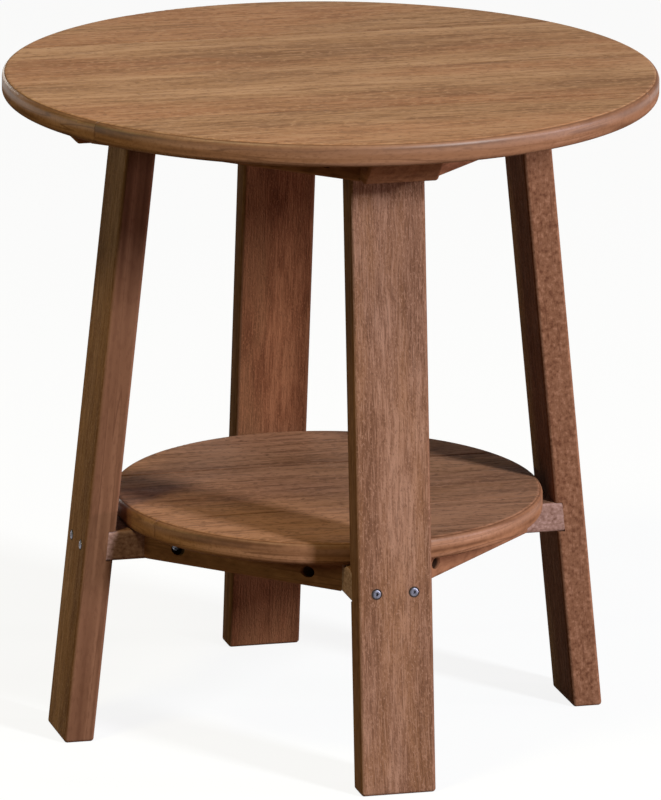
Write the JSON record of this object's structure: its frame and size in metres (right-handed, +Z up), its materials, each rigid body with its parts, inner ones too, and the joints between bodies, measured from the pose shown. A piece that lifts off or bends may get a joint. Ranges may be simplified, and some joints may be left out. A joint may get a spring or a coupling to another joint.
{
  "type": "outdoor side table",
  "caption": "Round outdoor side table of grained plastic lumber: splayed board legs, half-lapped beam crosses, mitred braces, a planked round top and a round lower shelf.",
  "frame": {"origin": "on the floor under the middle of the top", "axes": "+Z up, -Y towards the front leg, +X towards the right leg; the boards run along X"},
  "size_m": [0.546, 0.5461, 0.5588],
  "materials": {
    "top_boards": "embossed wood grain, satin",
    "shelf_boards": "embossed wood grain, satin",
    "legs": "embossed wood grain, satin",
    "frame_lumber": "embossed wood grain, satin",
    "screws": "stainless, turned"
  },
  "bodies": {
    "root": {"top_board_1": "top_boards", "top_board_2": "top_boards", "top_board_3": "top_boards", "top_board_4": "top_boards", "shelf_board_1": "shelf_boards", "shelf_board_2": "shelf_boards", "shelf_board_3": "shelf_boards", "leg_right": "legs", "leg_back": "legs", "leg_left": "legs", "leg_front": "legs", "upper_beam_side_to_side": "frame_lumber", "upper_beam_front_to_back": "frame_lumber", "lower_beam_side_to_side": "frame_lumber", "lower_beam_front_to_back": "frame_lumber", "upper_brace_back_right": "frame_lumber", "upper_brace_back_left": "frame_lumber", "upper_brace_front_left": "frame_lumber", "upper_brace_front_right": "frame_lumber", "lower_brace_back_right": "frame_lumber", "lower_brace_back_left": "frame_lumber", "lower_brace_front_left": "frame_lumber", "lower_brace_front_right": "frame_lumber", "leg_side_screws": "screws", "leg_top_screws": "screws", "upper_brace_screws": "screws", "lower_brace_screws": "screws", "top_screws": "screws", "shelf_screws": "screws"}
  },
  "joints": []
}
